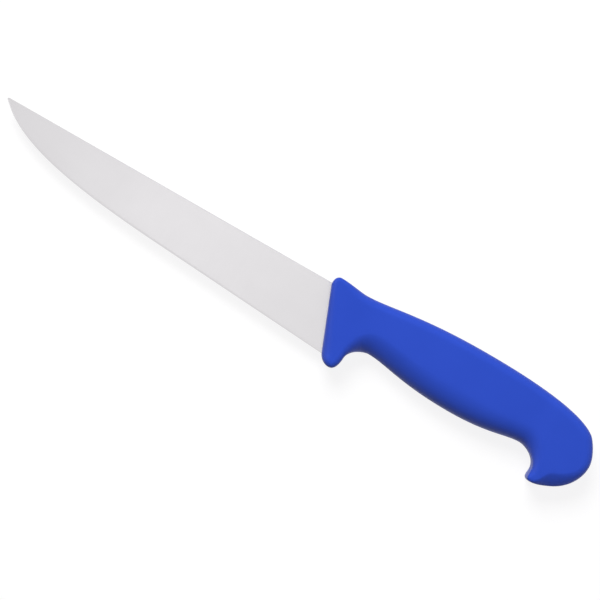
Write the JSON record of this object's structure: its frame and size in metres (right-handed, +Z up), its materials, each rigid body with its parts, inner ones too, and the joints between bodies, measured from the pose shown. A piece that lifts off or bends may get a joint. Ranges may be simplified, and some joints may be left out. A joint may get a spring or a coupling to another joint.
{
  "type": "kitchen knife",
  "caption": "Kitchen knife with a straight spine, a curved tip and a blue moulded handle with a finger guard and a hooked pommel.",
  "frame": {"origin": "under the middle of the knife's box, on the surface that the knife lies on", "axes": "+X from the tip to the butt, +Y from the edge to the spine, +Z up, square to the blade"},
  "size_m": [0.3186, 0.0422, 0.02],
  "materials": {
    "steel": "satin, finely ground across the blade",
    "plastic": "fine matt moulded surface"
  },
  "bodies": {
    "root": {"blade": "steel", "handle": "plastic"}
  },
  "joints": []
}
